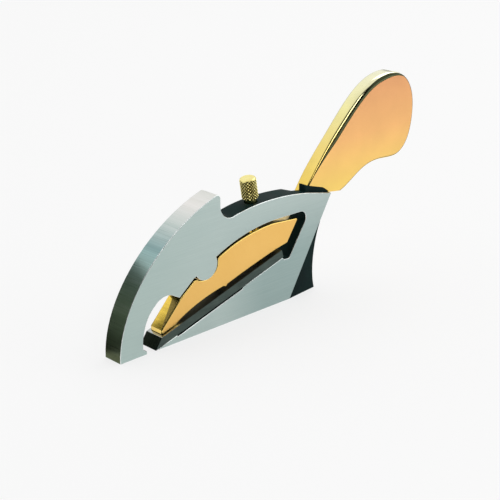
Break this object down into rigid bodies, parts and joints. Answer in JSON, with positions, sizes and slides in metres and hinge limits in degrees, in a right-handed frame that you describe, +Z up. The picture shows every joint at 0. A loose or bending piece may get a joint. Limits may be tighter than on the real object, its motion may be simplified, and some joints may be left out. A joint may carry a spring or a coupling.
{
  "type": "hand plane",
  "caption": "Narrow steel shoulder plane with a low-angle bevel-up blade, a brass lever cap rocked by a knurled clamp screw, and a brass tote lapped on the rear.",
  "frame": {"origin": "middle of the sole", "axes": "+X from the toe to the heel, +Y to the side away from the tongue, +Z up from the sole"},
  "size_m": [0.2302, 0.0128, 0.1186],
  "materials": {
    "ground_steel": "ground sides and toe, dark sandy skin elsewhere",
    "blade_steel": "dark ground faces, polished near the edge",
    "cap_brass": "satin, with bright chamfers",
    "screw_brass": "turned, diamond knurled",
    "tote_brass": "satin faces, polished rounded edges",
    "screw_steel": "blackened"
  },
  "bodies": {
    "stock": {"body": "ground_steel", "tote": "tote_brass", "tote_screw_front": "screw_steel", "tote_screw_rear": "screw_steel"},
    "iron": {"blade": "blade_steel"},
    "cap": {"lever_cap": "cap_brass"},
    "pad": {"thrust_pad": "screw_brass"},
    "screw": {"clamp_screw": "screw_brass"}
  },
  "joints": [
    {"name": "blade_feed", "type": "slide", "parent": "stock", "child": "iron", "axis": [-0.9613, 0, -0.2756], "range_m": [-0.004, 0.0003]},
    {"name": "lever_pivot", "type": "hinge", "parent": "stock", "child": "cap", "pos_m": [-0.01301, 0, 0.03813], "axis": [0, -1, 0], "range_deg": [-0.6, 0]},
    {"name": "screw_travel", "type": "slide", "parent": "cap", "child": "pad", "axis": [0.1702, 0, -0.9854], "range_m": [-0.00044, 0]},
    {"name": "screw_spin", "type": "hinge", "parent": "pad", "child": "screw", "pos_m": [0.032, 0, 0.02846], "axis": [0.1702, 0, -0.9854], "range_deg": [-200, 0]}
  ],
  "couplings": [
    {"joint": "screw_spin", "follows": "screw_travel", "rad_per_m": 7854},
    {"joint": "lever_pivot", "follows": "screw_travel", "rad_per_m": 23.416}
  ]
}
